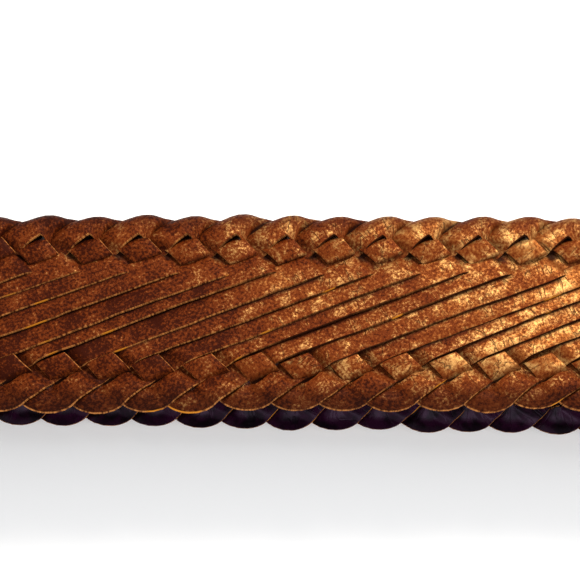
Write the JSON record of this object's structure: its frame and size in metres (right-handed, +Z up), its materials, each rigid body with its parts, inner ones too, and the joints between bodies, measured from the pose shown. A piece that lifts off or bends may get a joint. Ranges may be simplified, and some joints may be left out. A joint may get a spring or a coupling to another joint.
{
  "type": "braided belt",
  "caption": "Wide braided leather belt with a plain frame buckle, fastened and laid flat in a long closed loop.",
  "frame": {"origin": "on the surface that the belt lies on, under the middle of its box", "axes": "+X along the belt's runs, towards the buckle, +Y across the belt's width, +Z up from the surface"},
  "size_m": [0.4306, 0.0591, 0.0575],
  "materials": {
    "braid_leather": "brushed bronze foil over suede, worn, with raw cut edges",
    "tab_leather": "smooth dark brown leather, satin",
    "buckle_metal": "aged satin"
  },
  "bodies": {
    "root": {"braided_band": "braid_leather", "tip_tab": "tab_leather", "buckle_tab": "tab_leather", "buckle": "buckle_metal", "keeper": "tab_leather"}
  },
  "joints": []
}
